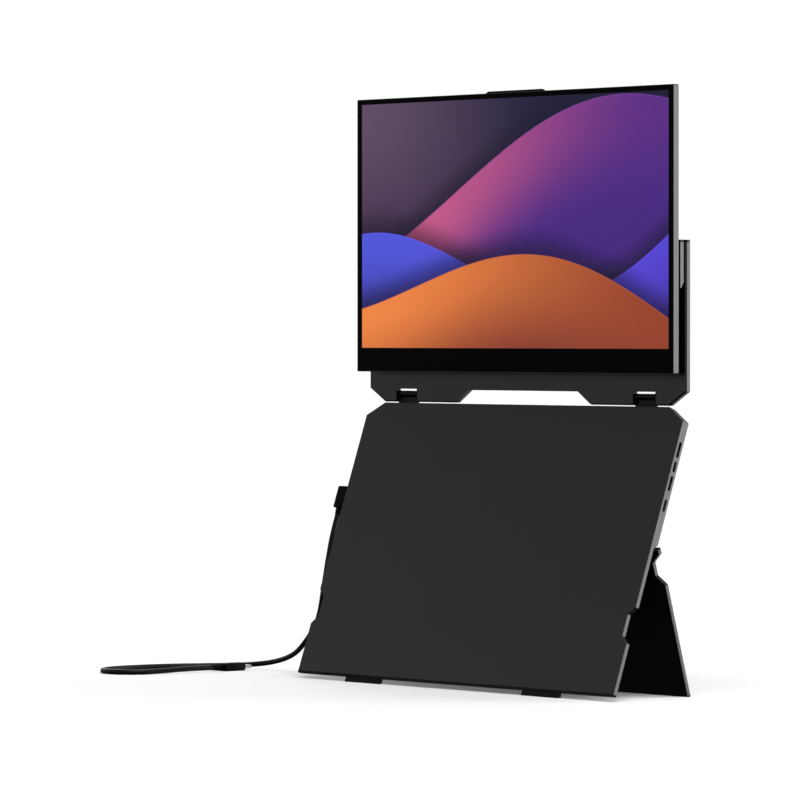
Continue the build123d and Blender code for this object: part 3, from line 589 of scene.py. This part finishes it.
for node in nodes.values():
    for holder in node.material_slots:
        holder.material = finishes[holder.material.name]

leadSetup = {
    "thickness": 0.0042,
    "length": 0.4442,
    "steps": 10,  # of the line between two points
    "roundness": 5,
    "run": [
        (-0.1841, 0.007905, 0.127778),
        (-0.1841, 0.003151, 0.11461),
        (-0.1846, -0.0006, 0.0986),
        (-0.1848, -0.006, 0.072),
        (-0.1915, -0.0057, 0.0428),
        (-0.2096, -0.0059, 0.0232),
        (-0.2309, 0.0015, 0.0133),
        (-0.2579, 0.0064, 0.0066),
        (-0.2825, 0.0013, 0.0032),
        (-0.3096, -0.0192, 0.00215),
        (-0.324, -0.0412, 0.00215),
        (-0.3308, -0.061, 0.00215),
        (-0.3344, -0.0855, 0.00215),
        (-0.333, -0.1102, 0.00215),
        (-0.3202, -0.1246, 0.00215),
        (-0.3014, -0.1266, 0.00215),
        (-0.2862, -0.115, 0.00215),
        (-0.2826, -0.094, 0.0024),
        (-0.2792, -0.07, 0.0033),
        (-0.2764, -0.0465, 0.0033),
    ],
    "ending": (0.0028, 0.0235, 0),  # where its last run points
}


def makeLead():
    line = bpy.data.curves.new("lead", "CURVE")
    line.dimensions = "3D"
    spline = line.splines.new("NURBS")
    spline.points.add(len(leadSetup["run"]) - 1)
    for point, place in zip(spline.points, leadSetup["run"]):
        point.co = (*place, 1)
    spline.order_u = 3
    spline.use_endpoint_u = True
    spline.resolution_u = leadSetup["steps"]
    line.bevel_depth = leadSetup["thickness"] / 2
    line.bevel_resolution = leadSetup["roundness"]
    line.use_fill_caps = True
    lead = bpy.data.objects.new("lead", line)
    bpy.context.scene.collection.objects.link(lead)
    line.materials.append(finishes["cable_black"])
    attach(lead, "base")
    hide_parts("cable")
    return lead


lead = makeLead()
print("lead laid")


def openEdit(piece):
    bpy.ops.object.select_all(action="DESELECT")
    bpy.context.view_layer.objects.active = piece
    piece.select_set(True)
    bpy.ops.object.mode_set(mode="EDIT")
    bpy.ops.mesh.select_all(action="DESELECT")


def closeEdit():
    bpy.ops.object.mode_set(mode="OBJECT")


def pick(piece, kind, test):  # selects faces or edges in edit mode, by a test on each
    mesh = bmesh.from_edit_mesh(piece.data)
    bpy.ops.mesh.select_mode(type=kind)
    for element in mesh.faces if kind == "FACE" else mesh.edges:
        element.select_set(bool(test(element)))
    mesh.select_flush_mode()
    bmesh.update_edit_mesh(piece.data)


def addModifier(piece, kind, settings):
    bpy.context.view_layer.objects.active = piece
    modifier = piece.modifiers.new(kind.lower(), kind)
    for key, value in settings.items():
        setattr(modifier, key, value)
    bpy.ops.object.modifier_apply(modifier=modifier.name)


def dress(piece, slotName, body, stands):
    piece.data.materials.clear()
    piece.data.materials.append(finishes[slotName])
    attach(piece, body)
    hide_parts(*stands)
    bpy.ops.object.select_all(action="DESELECT")


def settle(piece, matrix):  # moves the finished shape to its place in the mesh itself
    piece.data.transform(piece.matrix_world)
    piece.matrix_world = Matrix.Identity(4)
    piece.data.transform(matrix)
    piece.data.update()


def fixNormals(piece):
    openEdit(piece)
    bpy.ops.mesh.select_all(action="SELECT")
    bpy.ops.mesh.remove_doubles(threshold=0.000005)
    bpy.ops.mesh.normals_make_consistent(inside=False)
    closeEdit()


basePlate = {"foot": (0, -0.0402353, 0.0045), "lean": -19.85}  # its own frame in the scene
basePlace = Matrix.Translation(basePlate["foot"]) @ Matrix.Rotation(
    radians(basePlate["lean"]), 4, "X"
)

sleeveSetup = {
    "near": {"length": 0.0055, "wide": 0.0030, "narrow": 0.0026, "ribs": 2, "groove": 0.00035},
    "far": {"length": 0.0100, "wide": 0.0030, "narrow": 0.0023, "ribs": 4, "groove": 0.00040},
    "nearTop": (-0.1841, 0.00342, 0.1378),  # in the base plate's frame
    "sides": 40,
    "flank": 0.10,  # of a rib or groove, taken up by the slope at each of its ends
    "lip": 0.0002,  # the narrow end closes in by this
    "edge": {"width": 0.00012, "segments": 2, "angle_limit": radians(35)},
    "smooth": 40,  # degrees
}


def makeSleeve(name, look, matrix, stands):
    # built upright: the wide end at 0, the narrow end up, then moved by matrix
    bpy.ops.mesh.primitive_circle_add(
        vertices=sleeveSetup["sides"], radius=look["wide"], fill_type="NGON", location=(0, 0, 0)
    )
    piece = bpy.context.active_object
    piece.name = piece.data.name = name
    stations = [(0.0, look["wide"])]
    bands = look["ribs"] * 2 + 1
    pitch = look["length"] / bands
    flank = pitch * sleeveSetup["flank"]
    for k in range(bands):
        low, high = pitch * k, pitch * (k + 1)
        slim = look["groove"] if k % 2 else 0.0
        for at in (low + flank, high - flank):
            share = at / look["length"]
            stations.append((at, look["wide"] + (look["narrow"] - look["wide"]) * share - slim))
    stations.append((look["length"], look["narrow"] - sleeveSetup["lip"]))
    openEdit(piece)
    bpy.ops.mesh.select_all(action="SELECT")
    height, radius = stations[0]
    for at, wide in stations[1:]:
        bpy.ops.mesh.extrude_region_move(TRANSFORM_OT_translate={"value": (0, 0, at - height)})
        share = wide / radius
        bpy.ops.transform.resize(value=(share, share, 1), center_override=(0, 0, at))
        height, radius = at, wide
    closeEdit()
    fixNormals(piece)
    addModifier(piece, "BEVEL", sleeveSetup["edge"])
    settle(piece, matrix)
    openEdit(piece)
    bpy.ops.mesh.select_all(action="SELECT")
    bpy.ops.mesh.faces_shade_smooth()
    closeEdit()
    bpy.ops.object.shade_smooth_by_angle(angle=radians(sleeveSetup["smooth"]))
    dress(piece, "plug_black", "base", stands)
    return piece


def along(start, heading):  # turns what was built upright to lie along a heading
    upright = Vector((0, 0, 1))
    return Matrix.Translation(start) @ upright.rotation_difference(heading).to_matrix().to_4x4()


downBase = (basePlace.to_3x3() @ Vector((0, 0, -1))).normalized()
nearTop = basePlace @ Vector(sleeveSetup["nearTop"])
nearSleeve = makeSleeve(
    "nearSleeve", sleeveSetup["near"], along(nearTop, downBase), ["plug_strain_relief"]
)

farHeading = Vector(leadSetup["ending"]).normalized()
farEnd = Vector(leadSetup["run"][-1]) + farHeading * sleeveSetup["far"]["length"]
farSleeve = makeSleeve(
    "farSleeve", sleeveSetup["far"], along(farEnd, -farHeading), ["far_strain_relief"]
)

plugSetup = {
    "near": {  # corners in the base plate's frame
        "low": (-0.1893, 0.00022, 0.1378),
        "high": (-0.1776, 0.00662, 0.1555),
        "round": 0.0014,
        "bands": [(0.1402, 0.0006), (0.1414, 0.0006), (0.1426, 0.0006)],  # place, width
    },
    "far": {  # corners from the sleeve's end, which is its middle, pointing along y
        "low": (-0.0055, 0.0, -0.00325),
        "high": (0.0055, 0.0200, 0.00325),
        "round": 0.0022,
        "bands": [(0.0046, 0.0008), (0.0064, 0.0008), (0.0082, 0.0008), (0.0100, 0.0008)],
    },
    "steps": 5,  # of the long edges' rounding
    "endRound": 0.45,  # times the long edges' rounding
    "endSteps": 3,
    "bandEdge": 0.00003,
    "bandDepth": 0.00022,
    "smooth": 32,  # degrees
}


def makeBlock(name, look, matrix, stands):
    # a moulded block, its long edges and its ends rounded, with narrow grip bands pressed in
    low, high = look["low"], look["high"]
    centre = [(a + b) / 2 for a, b in zip(low, high)]
    bpy.ops.mesh.primitive_cube_add(size=1, location=centre)
    piece = bpy.context.active_object
    piece.name = piece.data.name = name
    piece.scale = [b - a for a, b in zip(low, high)]
    bpy.ops.object.transform_apply(location=True, rotation=True, scale=True)
    longAxis = max(range(3), key=lambda k: high[k] - low[k])
    hair = 1e-6  # metres that count as nothing
    openEdit(piece)
    pick(piece, "EDGE", lambda edge: abs((edge.verts[0].co - edge.verts[1].co)[longAxis]) > hair)
    bpy.ops.mesh.bevel(offset=look["round"], segments=plugSetup["steps"], affect="EDGES")
    closeEdit()
    openEdit(piece)
    ends = (low[longAxis], high[longAxis])
    pick(
        piece,
        "EDGE",
        lambda edge: all(min(abs(v.co[longAxis] - e) for e in ends) < hair for v in edge.verts)
        and abs((edge.verts[0].co - edge.verts[1].co)[longAxis]) < hair,
    )
    endRound = look["round"] * plugSetup["endRound"]
    bpy.ops.mesh.bevel(offset=endRound, segments=plugSetup["endSteps"], affect="EDGES")
    normal = [0.0, 0.0, 0.0]
    normal[longAxis] = 1.0
    for at, width in look["bands"]:
        for side in (-1, 1):
            bpy.ops.mesh.select_all(action="SELECT")
            spot = list(centre)
            spot[longAxis] = at + side * width / 2
            bpy.ops.mesh.bisect(plane_co=spot, plane_no=normal)
        pick(  # the band's own faces, round the sides
            piece,
            "FACE",
            lambda face: abs(face.calc_center_median()[longAxis] - at) < width / 2 - hair
            and abs(face.normal[longAxis]) < 0.5,
        )
        bpy.ops.mesh.inset(
            thickness=plugSetup["bandEdge"], depth=-plugSetup["bandDepth"], use_boundary=True
        )
    closeEdit()
    fixNormals(piece)
    settle(piece, matrix)
    bpy.ops.object.shade_smooth_by_angle(angle=radians(plugSetup["smooth"]))
    dress(piece, "plug_black", "base", stands)
    return piece


nearPlug = makeBlock("nearPlug", plugSetup["near"], basePlace, ["plug_shell"])
farTurn = atan2(-farHeading.x, farHeading.y)
farPlace = Matrix.Translation(farEnd) @ Matrix.Rotation(farTurn, 4, "Z")
farPlug = makeBlock("farPlug", plugSetup["far"], farPlace, ["far_plug_shell"])
print("plugs and sleeves made")

paper = {
    "flat": 5.5,  # metres to where it starts to curve up
    "curve": 1.5,
    "curveSteps": 8,
    "wallHeight": 5.0,
    "sides": 96,
    "glow": (0.26, 0.11, 1.02),  # its own light: left of the object, right of it, and far off
    "split": (-0.35, 0.1),  # x between which left turns into right
    "tone": 0.86,  # near the object; far off it reflects nothing
    "fade": (0.3, 2.0),  # metres from the middle over which near turns into far
    "mottle": 0.01,
    "mottleScale": 1.5,
    "shine": 0.05,
    "rough": 0.9,
    "mottleRough": 0.05,
}


def paperFinish():
    fixed = {"Specular IOR Level": paper["shine"], "Emission Strength": 1.0}
    finish = newFinish("studioPaper", fixed)
    x, y = finish.axes(finish.coords(), "XY")
    far = ((x * x + y * y) ** 0.5).ramp(*paper["fade"])
    mottle = finish.noise(finish.coords(), paper["mottleScale"], detail=3.0)
    near = finish.mix(mottle, grey(paper["tone"]), grey(paper["tone"] + paper["mottle"]))
    finish.feed("Base Color", finish.mix(far, near, grey(0)))
    left, right, distant = (grey(value) for value in paper["glow"])
    own = finish.mix(x.ramp(*paper["split"]), left, right)
    finish.feed("Emission Color", finish.mix(far, own, distant))
    finish.feed("Roughness", paper["rough"] + mottle.spread(paper["mottleRough"]))
    return finish.owner


def makeFloor():
    bpy.ops.mesh.primitive_circle_add(
        vertices=paper["sides"], radius=paper["flat"], fill_type="NGON", location=(0, 0, 0)
    )
    floor = bpy.context.active_object
    floor.name = floor.data.name = "studioFloor"
    openEdit(floor)
    bpy.ops.mesh.select_all(action="SELECT")
    radius, height = paper["flat"], 0.0
    for k in range(1, paper["curveSteps"] + 1):
        turn = radians(90 * k / paper["curveSteps"])
        wide = paper["flat"] + paper["curve"] * sin(turn)
        high = paper["curve"] * (1 - cos(turn))
        bpy.ops.mesh.extrude_edges_move(TRANSFORM_OT_translate={"value": (0, 0, high - height)})
        share = wide / radius
        bpy.ops.transform.resize(value=(share, share, 1), center_override=(0, 0, high))
        radius, height = wide, high
    rest = paper["wallHeight"] - height
    bpy.ops.mesh.extrude_edges_move(TRANSFORM_OT_translate={"value": (0, 0, rest)})
    closeEdit()
    bpy.ops.object.shade_smooth()
    floor.data.materials.append(paperFinish())
    floor.visible_diffuse = floor.visible_glossy = False  # it throws no light on the object
    floor.visible_shadow = False  # and the side light reaches below it
    bpy.ops.object.select_all(action="DESELECT")


makeFloor()

lights = [
    # name, place, aim, width, height, watts
    ("sideBox", (2.6, 2.7, 0.75), (0, 0, 0.25), 2.6, 3.0, 135),
    ("topBox", (1.1, -0.4, 2.8), (0, 0, 0), 2.2, 2.2, 78),
    ("leftBox", (-3.0, 2.0, 1.8), (0, 0, 0.25), 1.6, 1.6, 22),
]


def hangLight(name, place, aim, width, height, watts):
    lamp = bpy.data.lights.new(name, "AREA")
    lamp.shape = "RECTANGLE"
    lamp.size, lamp.size_y, lamp.energy = width, height, watts
    holder = bpy.data.objects.new(name, lamp)
    holder.location = place
    holder.rotation_euler = (Vector(aim) - Vector(place)).to_track_quat("-Z", "Y").to_euler()
    holder.visible_camera = False
    bpy.context.scene.collection.objects.link(holder)


for light in lights:
    hangLight(*light)

skyLook = {
    # places from straight down, 0, to straight up, 1, and the grey there: bright at the horizon
    "levels": [(0.0, 0.03), (0.46, 0.04), (0.50, 0.82), (0.64, 0.74), (0.78, 0.06), (1.0, 0.04)],
    "backGlow": 0.8,  # light from low behind, which the rear faces mirror
    "backBelow": (0.0, -0.3),  # z and y of a direction between which it fades in
    "backBehind": (0.35, 0.8),
}


def makeSky():
    world = bpy.data.worlds.new("studioWorld")
    sky = Recipe(world, "Background")
    y, z = sky.axes(sky.add("TexCoord", out="Generated"), "YZ")
    band = sky.add("ValToRGB", {"stops": skyLook["levels"]}, {0: z.slope(-1.0, 1.0)})
    behind = z.slope(*skyLook["backBelow"]) * y.slope(*skyLook["backBehind"])
    sky.feed("Color", sky.mix(behind, band, grey(skyLook["backGlow"])))
    bpy.context.scene.world = world


makeSky()
print("studio lit")

bpy.context.view_layer.update()
